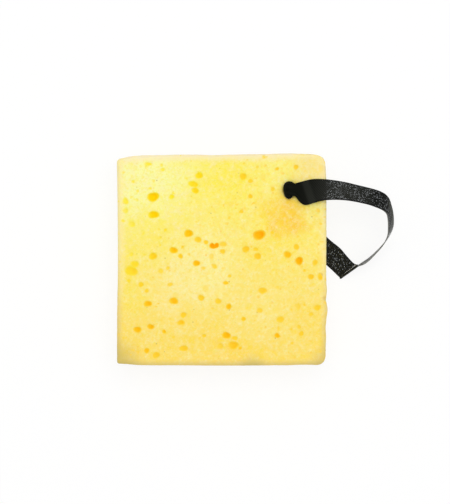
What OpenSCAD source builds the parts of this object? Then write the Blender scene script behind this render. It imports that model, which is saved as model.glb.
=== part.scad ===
// Bath sponge: a square slab of open-celled foam with large pores, punched through near
// one corner, and a flat woven ribbon threaded through the hole as a hanging loop.
// The slab lies on one of its two large faces. The origin is the middle of that face,
// +X runs along the slab's width, +Y along its length and +Z through its thickness.

/* [Foam block] */
// Width of the slab, along X
block_w = 95; // [80:1:120]
// Length of the slab, along Y
block_l = 96; // [80:1:120]
// Thickness of the slab, along Z
block_h = 30; // [24:1:45]
// Radius of the soft rims round both large faces
rim_r = 2.2; // [1:0.1:3.5]
// Plan radius of the worn corner beside the hole
worn_corner_r = 4.5; // [3.5:0.5:8]
// Plan radius of the corner at the other end of that side
soft_corner_r = 4.5; // [3.5:0.5:8]
// Plan radius of the near left corner, the freshest one
fresh_corner_r = 1.2; // [1:0.1:6]
// Plan radius of the far left corner, which droops
drooping_corner_r = 2.6; // [1:0.1:6]
// How far the far left corner falls short of a square one
corner_droop = 1.3; // [0:0.1:3]
// Depth of the shallow scallops that the saw left in the right-hand side
scallop_depth = 0.6; // [0.2:0.1:1.5]

/* [Pores] */
// Size of the main pores against their listed size, larger for a coarser foam
pore_scale = 1; // [0.7:0.05:1.3]
// Number of small pores on the upper face
small_pores = 60; // [0:5:80]
// Largest mouth of a small pore on the upper face
small_pore_max = 2; // [1.2:0.1:3]
// Number of pores on each narrow side
side_pores = 18; // [0:1:24]
// Number of pores on the lower face
under_pores = 36; // [0:2:50]
// Largest mouth of a pore on the sides and the lower face
side_pore_max = 4.2; // [2:0.1:5]
// Smallest mouth of any scattered pore
pore_min = 0.9; // [0.7:0.1:1.1]
// Depth of a scattered pore as a share of its mouth
pore_depth_share = 0.6; // [0.3:0.05:0.8]

/* [Ribbon hole] */
// Distance from the right-hand side to the middle of the hole
hole_from_side = 16.5; // [14:0.5:30]
// Distance from the far side to the middle of the hole
hole_from_end = 16.5; // [14:0.5:30]
// Diameter of the punched hole
hole_d = 5.6; // [5.4:0.1:8]
// Diameter of the dimple that the knot presses round the upper mouth
dimple_d = 8.4; // [8:0.2:11]
// Depth of that dimple
dimple_depth = 1.2; // [1:0.1:2]
// Diameter of the hollow that the ribbon presses round the lower mouth
mouth_d = 12; // [11:0.5:14]
// Depth of that hollow
mouth_depth = 6; // [5:0.5:8]
// Room that the foam leaves over the ribbon that it lies on
ribbon_gap = 0.3; // [0.2:0.05:0.5]

/* [Ribbon] */
// Width of the woven ribbon
ribbon_w = 10; // [8:0.5:11]
// Thickness of the ribbon
ribbon_t = 0.6; // [0.4:0.1:0.8]
// Width of the ribbon where it is bunched in the hole
bunch_w = 4.4; // [3:0.1:4.6]
// Thickness of the bunched ribbon
bunch_t = 2.4; // [1:0.1:2.6]

/* [Hidden] */
eps = 0.01;
FOAM = [0.99, 0.88, 0.47];
CORD_BLACK = [0.09, 0.1, 0.09];

half_w = block_w / 2;
half_l = block_l / 2;
hole_x = half_w - hole_from_side;
hole_y = half_l - hole_from_end;
face_margin = rim_r + 1.6;

// Posts that the slab's outline is stretched round: [x, y, plan radius]
POSTS = [
    [half_w, half_l, worn_corner_r],
    [half_w, -half_l, soft_corner_r],
    [-half_w, -half_l, fresh_corner_r],
    [-half_w, half_l - corner_droop, drooping_corner_r],
    [-half_w / 2, half_l, 2 * soft_corner_r]
];

// Main pores of the upper face: [x, y, mouth, depth], placed by hand. Deep ones are
// bubbles that the saw opened at the waist, shallow ones are faint dishes.
MAIN_PORES = [
    [-31, 28.3, 4.4, 2.6], [-31, 20.3, 3.8, 2.4], [17, 11, 4.6, 3], [-15, 11.8, 3.3, 2],
    [-4.3, 6.3, 2.6, 2.2], [-2.5, 6.7, 2.2, 2], [-21.8, 4.2, 3, 2], [-31, 1.5, 3.4, 1.6],
    [-39.3, -2, 3.2, 1.4], [-41, -5.1, 4.6, 1.6], [-11.4, -1.7, 2.7, 2], [-33.4, -20, 2.9, 1.9],
    [-21.7, -18.7, 3.3, 1.8], [3.2, -21.3, 2.3, 1.7], [-38, -31.7, 3, 1.9], [-32, -30.4, 2.6, 1.7],
    [-34, -41.2, 2.3, 1.5], [-29.6, -43, 3, 1.2], [-17.2, -40.2, 3.2, 1.4], [2, -34.3, 3.2, 2.2],
    [6, -35.6, 2.4, 1], [5.3, -38.8, 4.2, 2], [-0.6, -39.1, 2.7, 0.8], [35, -0.6, 3.2, 2.4],
    [29.8, 2.2, 3, 2], [33.8, 5.7, 2.6, 1.4], [25, -34.4, 2, 1.4], [26.5, -27, 3.2, 1.2],
    [18.4, -14, 3.6, 1.6], [10.9, 4.6, 3, 1.5], [16.3, 1.5, 3, 1.5], [15.4, 4.6, 2.2, 0.8],
    [-10.2, 38, 3, 1.5], [-13.4, 34.3, 2.9, 1.3], [-11.8, 31.2, 2.7, 1.8], [9.7, 37.6, 3.1, 1.5],
    [13, 35.5, 2.1, 1.2], [33.6, 41.8, 2.2, 1.2], [-10.7, 9, 2.8, 1.3], [0.4, 3.7, 2.4, 1],
    [40.4, -7.8, 2.5, 1.4], [43, -21.8, 2.8, 1], [36, -33.5, 2.2, 1], [-9.3, -17.3, 2.7, 1.2],
    [-1.6, -18.8, 2.8, 1], [-17.3, -25, 2.6, 1.3], [-18.4, -28.5, 2.6, 1.3], [-36.5, -11.3, 2.4, 1.1],
    [1.8, -10.6, 2.1, 1.2], [-43, 26.4, 2.8, 0.7], [-43, 22, 2.6, 0.7], [-40.6, 16, 3, 0.8],
    [-22.6, 28.4, 2.2, 1], [-40.4, 2.3, 2.2, 0.7], [34.4, -21, 3, 0.6], [17.2, -23, 2.7, 0.7]
];
// Scallops along the right-hand side: [y, radius of the scoop]
SCALLOPS = [[-17.5, 9], [-31, 13]];

// The ribbon's route, chosen by hand, from the knot out over the slab, down to the table,
// back under the slab and up through the hole. Each station is
// [x, y, z, azimuth, elevation, width, thickness]: the middle of the ribbon, the direction
// in degrees from that middle to one edge, and the section there.
OVER = [
    [28.9, 31.9, 31.2, 90, 0, 4.6, 1.6], [29.4, 31.9, 32.4, 90, 0, 4.8, 1.6],
    [30.6, 31.9, 33.2, 90, 0, 5, 1.6], [32.1, 31.6, 33, 90, -1, 5.4, 1.6],
    [33.5, 31.3, 32.3, 91, -2, 6, 1.4], [35.3, 30.4, 31.5, 91, -4, 9, 1],
    [37.8, 30.1, 31.1, 91, -6, 11.1, ribbon_t], [41.4, 30.9, 31.4, 91, -9, 11, ribbon_t],
    [45, 31.4, 31.7, 90, -14, 10.2, ribbon_t], [48, 31.5, 31.8, 88, -21, ribbon_w, ribbon_t],
    [52, 31.3, 31.4, 86, -30, ribbon_w, ribbon_t], [56.3, 30.8, 30.7, 82, -36, ribbon_w, ribbon_t],
    [60.6, 30, 29.7, 77, -40, ribbon_w, ribbon_t], [64.8, 29.1, 28.4, 74, -41, ribbon_w, ribbon_t],
    [68.5, 28.2, 26.8, 70, -41, ribbon_w, ribbon_t], [71.4, 27.2, 25.3, 67, -41, ribbon_w, ribbon_t],
    [73.6, 26.1, 23.9, 65, -45, ribbon_w, ribbon_t], [75.3, 24.6, 22.3, 64, -52, ribbon_w, ribbon_t],
    [76.4, 22.6, 20.6, 61, -57, ribbon_w, ribbon_t], [77.1, 20, 18.6, 57, -58, ribbon_w, ribbon_t],
    [77.5, 16.6, 16.3, 53, -57, ribbon_w, ribbon_t], [77.4, 13, 13.9, 52, -58, ribbon_w, ribbon_t],
    [76.2, 9.7, 11.5, 50, -61, ribbon_w, ribbon_t], [74.4, 6.8, 9.4, 48, -65, ribbon_w, ribbon_t],
    [72.1, 4.1, 7.6, 47, -69, ribbon_w, ribbon_t], [69.8, 1.7, 6.3, 50, -75, ribbon_w, ribbon_t],
    [67.6, -0.3, 5.6, 60, -81, ribbon_w, ribbon_t], [65.2, -1.9, 5.4, 80, -85, ribbon_w, ribbon_t]
];
// The standing ribbon turns down about its lower corner, in its own upright plane
FOLD_CORNER = [63, -3, 0.5];
FOLD_AZIMUTH = 217.5;
FOLD_STEPS = 4;
UNDER = [
    [58.7, -5.5, 0.4, 38, 0, 9.6, ribbon_t], [57.3, -4.5, 0.4, 40, 0, 9.2, ribbon_t],
    [54.5, -1.6, 0.4, 47, 0, 9.4, ribbon_t], [51.5, 1.5, 0.4, 47, 0, ribbon_w, ribbon_t],
    [48.4, 4.2, 0.4, 47, 0, 9.6, ribbon_t], [45.6, 6.8, 0.4, 45, 0, 9.4, ribbon_t],
    [42.5, 10.4, 0.4, 40, 0, 9.8, ribbon_t], [39.6, 14.8, 0.4, 35, 0, ribbon_w, ribbon_t],
    [36.9, 19.6, 0.4, 30, 0, ribbon_w, ribbon_t], [34.6, 24.4, 0.4, 26, 0, 9, ribbon_t],
    [32.8, 28.2, 0.6, 22, 0, 6.4, 0.8], [31.5, 30.6, 2.2, 20, 0, bunch_w, 1.8]
];
// Heights of the ribbon's stations inside the hole
BORE_Z = [5, 10, 17, 24, 30];
// Lumps of the knot: [x, y, z, radius]
KNOT = [[30.3, 33.2, 31.4, 1.8], [30.4, 28.9, 31.2, 1.6], [29.7, 31.4, 31.4, 1.6], [32, 32, 31.6, 2],
        [31, 31.5, 30.8, 2.2]];

// Radius of the ball whose cap has the given mouth and depth
function ball_r(mouth, depth) = (mouth * mouth / 4 + depth * depth) / (2 * depth);
// Unit vectors
function toward(az, el) = [cos(el) * cos(az), cos(el) * sin(az), sin(el)];
function unit(v) = v / norm(v);
// The place and the edge direction of a station
function middle(s) = [s[0], s[1], s[2]];
function edgeward(s) = toward(s[3], s[4]);

// Stations of the turn: the middle of the ribbon swings round its lower corner
FOLD = [
    for (i = [0 : FOLD_STEPS])
        let (a = 90 * i / FOLD_STEPS, swing = ribbon_w / 2 + ribbon_gap,
             m = FOLD_CORNER + swing * (cos(a) * [0, 0, 1] + sin(a) * toward(FOLD_AZIMUTH, 0)))
        [m[0], m[1], m[2], FOLD_AZIMUTH - 180, a - 90, ribbon_w, ribbon_t]
];
BORE = [for (z = BORE_Z) [hole_x, hole_y, z, 20, 0, bunch_w, bunch_t]];
ROUTE = concat(OVER, FOLD, UNDER, BORE);
STOPS = len(ROUTE);

// The ribbon's section with its bevelled edges, as eight points round station i
RING = 8;
EDGE_BEVEL = 0.3;
function ring(i) =
    let (s = ROUTE[i],
         along = unit(middle(ROUTE[min(i + 1, STOPS - 1)]) - middle(ROUTE[max(i - 1, 0)])),
         across = edgeward(s), up = unit(cross(along, across)),
         w = s[5] / 2, t = s[6] / 2, flat = w - min(t, EDGE_BEVEL * s[5]))
    [for (c = [[w, 0], [flat, t], [0, t], [-flat, t], [-w, 0], [-flat, -t], [0, -t], [flat, -t]])
        middle(s) + across * c[0] + up * c[1]];

module ribbon_strip() {
    polyhedron(
        points = [for (i = [0 : STOPS - 1]) for (p = ring(i)) p],
        faces = concat(
            [[for (k = [0 : RING - 1]) k]],
            [for (i = [0 : STOPS - 2]) for (k = [0 : RING - 1])
                [i * RING + k, (i + 1) * RING + k, (i + 1) * RING + (k + 1) % RING]],
            [for (i = [0 : STOPS - 2]) for (k = [0 : RING - 1])
                [i * RING + k, (i + 1) * RING + (k + 1) % RING, i * RING + (k + 1) % RING]],
            [[for (k = [RING - 1 : -1 : 0]) (STOPS - 1) * RING + k]]),
        convexity = 10);
}

// An upright post with a plan radius r and both rims rounded, by rim_r where r has room for it
module post(x, y, r) {
    rim = min(rim_r, r);
    for (z = [rim, block_h - rim])
        translate([x - sign(x) * r, y - sign(y) * r, z])
            rotate_extrude($fn = 32)
                intersection() {
                    translate([r - rim, 0]) circle(rim, $fn = 32);
                    translate([0, -rim]) square([r, 2 * rim]);
                }
}

module slab() {
    hull()
        for (p = POSTS) post(p[0], p[1], p[2]);
}

// A pore in the face z = 0 of whatever lies under it
module pore(x, y, mouth, depth) {
    r = ball_r(mouth, depth);
    translate([x, y, r - depth]) sphere(r, $fn = 24);
}

// Pores strewn over a face w by l, the same every time
module strewn_pores(count, w, l, mouth_max, seed) {
    xs = rands(-w / 2, w / 2, count, seed);
    ys = rands(-l / 2, l / 2, count, seed + 1);
    sizes = rands(0, 1, count, seed + 2);
    for (i = [0 : 1 : count - 1]) {
        mouth = pore_min + (mouth_max - pore_min) * sizes[i] * sizes[i];
        pore(xs[i], ys[i], mouth, pore_depth_share * mouth);
    }
}

module upper_face_pores() {
    inner = [block_w - 2 * face_margin, block_l - 2 * face_margin];
    translate([0, 0, block_h]) {
        for (p = MAIN_PORES)
            if (abs(p[0]) < half_w - p[2] / 2 && abs(p[1]) < half_l - p[2] / 2)
                pore(p[0], p[1], p[2] * pore_scale, p[3] * pore_scale);
        strewn_pores(small_pores, inner[0], inner[1], small_pore_max, 11);
    }
}

module side_face_pores() {
    tall = block_h - 2 * face_margin;
    for (side = [0 : 3]) {
        reach = side % 2 == 0 ? half_w : half_l;
        run = (side % 2 == 0 ? block_l : block_w) - 2 * face_margin;
        rotate([0, 0, 90 * side])
            translate([reach, 0, block_h / 2])
                rotate([0, 90, 0])
                    strewn_pores(side_pores, tall, run, side_pore_max, 31 + 10 * side);
    }
}

module lower_face_pores() {
    mirror([0, 0, 1])
        strewn_pores(under_pores, block_w - 2 * face_margin, block_l - 2 * face_margin,
                     side_pore_max, 81);
}

module saw_scallops() {
    for (s = SCALLOPS)
        translate([half_w + s[1] - scallop_depth, s[0], -eps])
            cylinder(r = s[1], h = block_h + 2 * eps, $fn = 48);
}

// The punched hole, the dimple under the knot and the hollow round the lower mouth
module ribbon_hole() {
    translate([hole_x, hole_y, -eps])
        cylinder(d = hole_d, h = block_h + 2 * eps, $fn = 32);
    translate([0, 0, block_h])
        pore(hole_x, hole_y, dimple_d, dimple_depth);
    translate([hole_x, hole_y, -eps])
        cylinder(d1 = mouth_d, d2 = hole_d - eps, h = mouth_depth, $fn = 32);
}

// The channel that the ribbon presses into the lower face, along the ribbon's own stations
module ribbon_channel() {
    function rim(s, way) =
        let (p = middle(s) + way * (s[5] / 2 + ribbon_gap) * edgeward(s)) [p[0], p[1]];
    ceiling = UNDER[1][2] + ribbon_t / 2 + ribbon_gap;
    translate([0, 0, -eps])
        linear_extrude(ceiling + eps)
            polygon(concat([for (s = UNDER) rim(s, 1)],
                           [for (i = [len(UNDER) - 1 : -1 : 0]) rim(UNDER[i], -1)]));
}

module foam_block() {
    color(FOAM)
        difference() {
            slab();
            upper_face_pores();
            side_face_pores();
            lower_face_pores();
            saw_scallops();
            ribbon_hole();
            ribbon_channel();
        }
}

module ribbon_loop() {
    color(CORD_BLACK)
        union() {
            ribbon_strip();
            for (k = KNOT) translate([k[0], k[1], k[2]]) sphere(k[3], $fn = 24);
        }
}

foam_block();
ribbon_loop();
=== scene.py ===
# %% [markdown]
# # A bath sponge with a ribbon loop
# The sponge is a slab of yellow polyurethane foam with large pores, and a black woven
# ribbon is threaded through a hole near one corner and knotted on top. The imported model
# gives both pieces their size and place. This script gives them their surface: soft
# rims, real pits, a woven cloth and a knot.

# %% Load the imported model
import math

import bpy
import numpy as np
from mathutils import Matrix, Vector, noise


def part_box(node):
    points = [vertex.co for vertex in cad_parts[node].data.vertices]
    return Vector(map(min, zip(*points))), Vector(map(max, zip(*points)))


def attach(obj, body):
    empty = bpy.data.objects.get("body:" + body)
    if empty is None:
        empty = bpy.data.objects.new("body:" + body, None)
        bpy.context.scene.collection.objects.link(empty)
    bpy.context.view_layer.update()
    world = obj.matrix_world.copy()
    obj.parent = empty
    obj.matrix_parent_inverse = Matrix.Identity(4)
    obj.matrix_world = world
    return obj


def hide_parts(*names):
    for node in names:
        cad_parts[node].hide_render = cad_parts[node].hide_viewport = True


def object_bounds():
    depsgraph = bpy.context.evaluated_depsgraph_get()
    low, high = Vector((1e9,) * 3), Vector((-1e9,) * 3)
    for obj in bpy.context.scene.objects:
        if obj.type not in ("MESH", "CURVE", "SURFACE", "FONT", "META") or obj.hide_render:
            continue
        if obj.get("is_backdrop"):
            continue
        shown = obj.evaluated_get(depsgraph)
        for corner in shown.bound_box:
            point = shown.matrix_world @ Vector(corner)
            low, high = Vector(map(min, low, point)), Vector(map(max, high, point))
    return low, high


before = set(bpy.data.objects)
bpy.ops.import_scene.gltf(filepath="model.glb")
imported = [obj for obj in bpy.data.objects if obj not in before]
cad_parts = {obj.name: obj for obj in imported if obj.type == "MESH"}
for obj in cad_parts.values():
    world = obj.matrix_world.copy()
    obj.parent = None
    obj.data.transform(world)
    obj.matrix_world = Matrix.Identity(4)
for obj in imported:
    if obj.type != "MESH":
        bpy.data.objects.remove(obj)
cad_low, cad_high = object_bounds()
block_low, block_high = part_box("foam_block")
print("packed nodes", sorted(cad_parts))

# One millimetre in metres, then the slab and its hole in millimetres
MM = 0.001
BLOCK_W = (block_high[0] - block_low[0]) / MM
BLOCK_L = (block_high[1] - block_low[1]) / MM
BLOCK_H = (block_high[2] - block_low[2]) / MM
HOLE = (31.0, 31.5)
HOLE_R = 2.8
print("slab", round(BLOCK_W, 1), "by", round(BLOCK_L, 1), "by", round(BLOCK_H, 1), "mm")

# %% [markdown]
# ## Small helpers
# A colour is written the way a paint chart gives it, as sRGB hex. Blender's sockets want
# linear light, so one function does that step. Another adds a shader node with its
# settings and its links. Nodes could be placed by hand in the shader editor too, but a
# script says which value goes where.

# %% Colour and node helpers
def rgb(hex_code):
    """sRGB hex to the linear RGBA that a colour socket takes."""
    parts = [int(hex_code[i:i + 2], 16) / 255 for i in (1, 3, 5)]
    linear = [c / 12.92 if c <= 0.04045 else ((c + 0.055) / 1.055) ** 2.4 for c in parts]
    return (*linear, 1.0)


def set_inputs(node, inputs):
    """Fill inputs by name, each with another node's output, a plain value or a hex colour."""
    for name, value in inputs.items():
        if isinstance(value, bpy.types.NodeSocket):
            node.id_data.links.new(value, node.inputs[name])
        else:
            node.inputs[name].default_value = rgb(value) if isinstance(value, str) else value


def add_node(material, kind, inputs=None, **settings):
    """A new node of that kind, with its settings and its links."""
    made = material.node_tree.nodes.new(kind)
    for name, value in settings.items():
        setattr(made, name, value)
    set_inputs(made, inputs or {})
    return made


def new_material(name):
    """An empty node material and its surface shader."""
    material = bpy.data.materials.new(name)
    material.use_nodes = True
    return material, material.node_tree.nodes["Principled BSDF"]


def new_object(name, data):
    """An object with that data, in the scene."""
    made = bpy.data.objects.new(name, data)
    bpy.context.scene.collection.objects.link(made)
    return made


def select_only(obj):
    """Object mode, with one object selected and active."""
    if bpy.context.object and bpy.context.object.mode != "OBJECT":
        bpy.ops.object.mode_set(mode="OBJECT")
    bpy.ops.object.select_all(action="DESELECT")
    obj.select_set(True)
    bpy.context.view_layer.objects.active = obj


print("half way in sRGB is", round(rgb("#808080")[0], 3), "in linear light")

# %% [markdown]
# ## The camera
# The sponge lies flat and is seen from straight above, as on a copy stand. A short lens
# close by would push the raised parts of the loop outwards and draw them much larger
# than what lies on the table. A long lens from 1.2 m keeps that small, and an
# orthographic camera would leave it out altogether.

# %% Camera over the slab
# The height in metres is above the slab. The sensor's length lies along the upright
# picture, whose scale is the one at the slab's upper face.
IMAGE_H = 504
PIXELS_PER_MM = 2.2105
CAMERA_HEIGHT = 1.2
SENSOR = 36.0
AIM = (1.58 * MM, 3.39 * MM)

camera_data = bpy.data.cameras.new("Camera")
camera_data.sensor_width = SENSOR
camera_data.lens = SENSOR * CAMERA_HEIGHT / (IMAGE_H / PIXELS_PER_MM * MM)
camera = new_object("Camera", camera_data)
camera.location = (AIM[0], AIM[1], BLOCK_H * MM + CAMERA_HEIGHT)
bpy.context.scene.camera = camera
print("lens", round(camera_data.lens, 1), "mm")

# %% [markdown]
# ## The ribbon's route
# A loop of ribbon has one route, and everything about its shape follows from it: where
# its middle runs, which way its width points, and how wide it is. It leaves the knot,
# runs over the slab, rolls on to its edge as it comes down to the table, folds over
# there, and goes back flat under the slab and up through the hole. A curve with a flat
# bevel could carry it, but a curve twists its section in its own way, so each station
# here says where one edge points.

# %% Stations along the ribbon, in millimetres
RIBBON_W = 10.0
RIBBON_T = 0.42
# The lowest that the cloth's middle layer lies, a hair more than half its thickness
LOWEST = RIBBON_T / 2 + 0.04
# The height of its middle on the table, and the width to which the hole squeezes it
ON_TABLE = 0.4
BUNCH_W = 4.4
# x, y, z of the middle; azimuth and elevation from there to one edge; width
OVER = [
    (29.4, 32.2, 31.2, 90, 0, 3.4), (29.6, 32.1, 32.3, 90, 0, 4.2),
    (30.6, 31.9, 33.2, 90, 0, 5), (32.1, 31.6, 33, 90, -1, 5.4),
    (33.5, 31.3, 32.3, 91, -2, 6), (35.3, 30.4, 31.5, 91, -4, 9),
    (37.8, 30.1, 31.1, 91, -6, 11.1), (41.4, 30.9, 31.4, 91, -9, 11),
    (45, 31.4, 31.7, 90, -14, 10.2), (48, 31.5, 31.8, 88, -21, 10),
    (52, 31.3, 31.4, 86, -30, 10), (56.3, 30.8, 30.7, 82, -36, 10),
    (60.6, 30, 29.7, 77, -40, 10), (64.8, 29.1, 28.4, 74, -41, 10),
    (68.5, 28.2, 26.8, 70, -41, 10), (71.4, 27.2, 25.3, 67, -41, 10),
    (73.6, 26.1, 23.9, 65, -45, 10), (75.3, 24.6, 22.3, 64, -52, 10),
    (76.4, 22.6, 20.6, 61, -60, 10), (77.1, 20, 18.6, 57, -61, 10),
    (77.5, 16.6, 16.3, 53, -61, 10), (77.4, 13, 13.9, 52, -62, 10),
    (76.2, 9.7, 11.5, 50, -65, 10), (74.4, 6.8, 9.4, 48, -67, 10),
    (72.1, 4.1, 7.6, 47, -69, 10), (69.8, 1.7, 6.3, 50, -75, 10),
    (67.6, -0.3, 5.6, 60, -81, 10), (65.2, -1.9, 5.4, 80, -85, 10),
]
FOLD_CORNER = Vector((63.0, -3.0, ON_TABLE))
FOLD_AZIMUTH = 217.5
FOLD_W = 9.7
UNDER = [
    (58.7, -5.5, ON_TABLE, 38, 0, 9.6), (57.3, -4.5, ON_TABLE, 40, 0, 9.2),
    (54.5, -1.6, ON_TABLE, 47, 0, 9.4), (51.5, 1.5, ON_TABLE, 47, 0, 10),
    (48.4, 4.2, ON_TABLE, 47, 0, 9.6), (45.6, 6.8, ON_TABLE, 45, 0, 9.4),
    (42.5, 10.4, ON_TABLE, 40, 0, 9.8), (39.6, 14.8, ON_TABLE, 35, 0, 10),
    (36.9, 19.6, ON_TABLE, 30, 0, 10), (34.6, 24.4, ON_TABLE, 26, 0, 9),
    (32.8, 28.2, 0.6, 22, 0, 6.4), (31.5, 30.6, 2.2, 20, 0, BUNCH_W),
    *[(*HOLE, z, 20, 0, BUNCH_W) for z in (5, 10, 17, 24, 30)],
]
print("stations", len(OVER), "over the slab and beside it,", len(UNDER), "under it and in the hole")


# %% From a station to its two edge points
def toward(azimuth, elevation):
    """The unit vector in that direction, in degrees."""
    a, e = math.radians(azimuth), math.radians(elevation)
    return Vector((math.cos(e) * math.cos(a), math.cos(e) * math.sin(a), math.sin(e)))


def edges_of(station, side):
    """The two edge points of the ribbon at a station, first edge first."""
    middle = Vector(station[:3])
    reach = toward(station[3], station[4]) * (station[5] / 2 * side)
    return middle + reach, middle - reach


print("edges at the first station", [tuple(round(v, 1) for v in edge) for edge in edges_of(OVER[0], 1)])

# %% [markdown]
# ## The fold on the table
# A ribbon that stands on its edge can't simply lie down: it has to be folded along a
# slanting line, as a belt is at a corner. The standing layer ends on that line, a second
# layer comes down behind it, and at its foot the ribbon turns flat. Bending one strip
# round so tight a corner would crush the mesh, so its rows fan out about two corners.

# %% Rows of the fold
# In millimetres: the room between the two layers, how far the crease stands out, the
# rows along the front layer, the rows down the back one, and the foot where it turns flat
FOLD_GAP = 0.7
CREASE_OUT = 0.3
FRONT_ROWS = (0.0, 3.4, 6.8, FOLD_W)
BACK_ROWS = (RIBBON_W, 6.6, 3.2)
FOOT_HEIGHT = 0.5


def fold_rows():
    """The pairs of edge points over the front layer, round the crease and down the back."""
    along, inward, up = toward(FOLD_AZIMUTH, 0), toward(FOLD_AZIMUTH - 90, 0), Vector((0, 0, 1))
    near, far = FOLD_CORNER, FOLD_CORNER + along * FOLD_W
    top = near + up * RIBBON_W
    behind = inward * FOLD_GAP
    half_way, out, foot = behind * 0.5, (along + up) * CREASE_OUT, behind * 1.1
    front = [(near + along * reach, top) for reach in FRONT_ROWS]
    back = [(far + behind, near + up * height + behind) for height in BACK_ROWS]
    crease = (far + half_way + out, top + half_way + out)
    return [*front, crease, *back, (far + foot, near + up * FOOT_HEIGHT + foot)]


print("fold", len(fold_rows()), "rows")


# %% [markdown]
# ## From stations to a smooth strip
# The stations are few, so that they are easy to read and to change. A Catmull-Rom curve
# through them fills in the rest, once for each edge of the ribbon. It passes through
# every station, which a Bezier curve does only with handles to look after.

# %% Smooth rows
STEPS_BETWEEN = 9


def smooth(points):
    """A Catmull-Rom curve through points of any size."""
    padded = [points[0], *points, points[-1]]
    made = []
    for a, b, c, d in zip(padded, padded[1:], padded[2:], padded[3:]):
        for k in range(STEPS_BETWEEN):
            t = k / STEPS_BETWEEN
            made.append((a * (2 * t * t - t - t ** 3) + b * (2 - 5 * t * t + 3 * t ** 3)
                         + c * (t + 4 * t * t - 3 * t ** 3) + d * (t ** 3 - t * t)) / 2)
    return [*made, points[-1]]


def smooth_rows(rows):
    """Pairs of edge points, with a smooth curve through each edge."""
    return list(zip(smooth([row[0] for row in rows]), smooth([row[1] for row in rows])))


def straight_rows(rows, steps=3):
    """The same with straight lines, for the fold's flat layers."""
    made = []
    for a, b in zip(rows, rows[1:]):
        for k in range(steps):
            made.append(tuple(a[e].lerp(b[e], k / steps) for e in (0, 1)))
    return [*made, rows[-1]]


over = smooth_rows([edges_of(s, 1) for s in OVER] + [fold_rows()[0]])
fold = straight_rows(fold_rows())
under = smooth_rows([fold_rows()[-1]] + [edges_of(s, -1) for s in UNDER])
rows = over[:-1] + fold[:-1] + under
# The free ribbon starts at the top of the knot, two stations after the first one
ON_KNOT = 2 * STEPS_BETWEEN
path = [(a + b) / 2 for a, b in rows[ON_KNOT:]]

# %% [markdown]
# ## Pleats where the ribbon is squeezed
# Cloth doesn't get narrower, it gathers. Where the route squeezes a 10 mm ribbon into
# less, its section becomes a wave whose length is still 10 mm. The height of that wave
# follows from the width that is left, up to the little room that a tight knot leaves.
# A cloth simulation would find such pleats too, but others on every change of the route.

# %% How high the pleats stand
# Half waves of a pleated section, and their greatest height in millimetres
PLEATS = 4
PLEAT_ROOM = 0.27


def pleat_height(width):
    """How high the wave stands that leaves only that width of the ribbon."""
    spare = max(0.0, (RIBBON_W / width) ** 2 - 1)
    return min(width / (math.pi * PLEATS) * math.sqrt(2 * spare), PLEAT_ROOM)


print("pleats at widths of 9.9 and 6 mm", [round(pleat_height(width), 2) for width in (9.9, 6)], "mm")

# %% The strip as a mesh
# Squares across the ribbon
ACROSS = 30


def cloth_mesh(name, verts, uvs, columns, turned=False):
    """Rows of points joined by squares, with a UV map in millimetres of cloth: across the
    ribbon, and along it. Turned squares run the other way round."""
    ahead = columns + 1
    square = (0, ahead, ahead + 1, 1) if turned else (0, 1, ahead + 1, ahead)
    starts = [i * ahead + k for i in range(len(verts) // ahead - 1) for k in range(columns)]
    faces = [[start + corner for corner in square] for start in starts]
    mesh = bpy.data.meshes.new(name)
    mesh.from_pydata([tuple(v) for v in verts], [], faces)
    layer = mesh.uv_layers.new(name="cloth_mm")
    for loop in mesh.loops:
        layer.data[loop.index].uv = uvs[loop.vertex_index]
    return mesh


def strip_mesh(name):
    """The ribbon's sheet, row by row, with its pleats."""
    verts, uvs = [], []
    lengths = [0.0, 0.0]
    for i, (left, right) in enumerate(rows):
        before, after = rows[max(i - 1, 0)], rows[min(i + 1, len(rows) - 1)]
        if i:
            lengths = [lengths[e] + (rows[i][e] - rows[i - 1][e]).length for e in (0, 1)]
        width = (left - right).length
        across = (left - right) / width
        along = (after[0] + after[1]) - (before[0] + before[1])
        normal = along.cross(across).normalized()
        height = pleat_height(min(width, RIBBON_W))
        for k in range(ACROSS + 1):
            c = k / ACROSS
            wave = height * math.sin(math.pi * PLEATS * (c - 0.5))
            point = right.lerp(left, c) + normal * wave
            point.z = max(point.z, LOWEST)
            verts.append(point * MM)
            uvs.append((c * RIBBON_W, lengths[1] + (lengths[0] - lengths[1]) * c))
    return cloth_mesh(name, verts, uvs, ACROSS)


# %% The sheet gets its thickness
ribbon = new_object("woven_ribbon", strip_mesh("woven_ribbon"))
select_only(ribbon)
solid = ribbon.modifiers.new("thickness", "SOLIDIFY")
solid.thickness = RIBBON_T * MM
solid.offset = 0
bpy.ops.object.modifier_apply(modifier=solid.name)
bpy.ops.object.shade_smooth_by_angle(angle=math.radians(50))
print("strip", len(ribbon.data.polygons), "faces")

# %% [markdown]
# ## The knot
# The knot over the hole is the same ribbon, bunched into a soft cord and pulled tight.
# One turn of it lies round the hole, fatter on the far side and drawn out to a short nub
# on the near side, and the ribbon leaves over the top of that turn. It is a tube round a
# closed curve of a few points. The ribs round the tube are the ribbon's pleats. A spun
# ring would be even all round, and a tight knot isn't: here each point has its radius.

# %% The turn round the hole
# x, y, z and radius of the bunched ribbon, in millimetres
KNOT_TURN = [
    (32.3, 33.0, 31.1, 1.15), (31.3, 33.8, 31.2, 1.3), (29.9, 33.6, 31.3, 1.4),
    (29.2, 32.2, 31.4, 1.2), (29.4, 30.7, 31.3, 1.15), (29.8, 29.1, 31.1, 1.25),
    (30.6, 28.5, 31.0, 1.2), (31.3, 29.3, 31.1, 1.1), (31.6, 30.6, 31.2, 1.1), (32.2, 31.8, 31.1, 1.15),
]
KNOT_MIDDLE = Vector((30.8, 31.3, 30.0))
KNOT_SIDES = 20
# Ribs round the tube, their depth as a share of its radius, and the cloth in each ring
RIBS = 5
RIB_DEPTH = 0.13
CLOTH_STEP = 0.25


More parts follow.
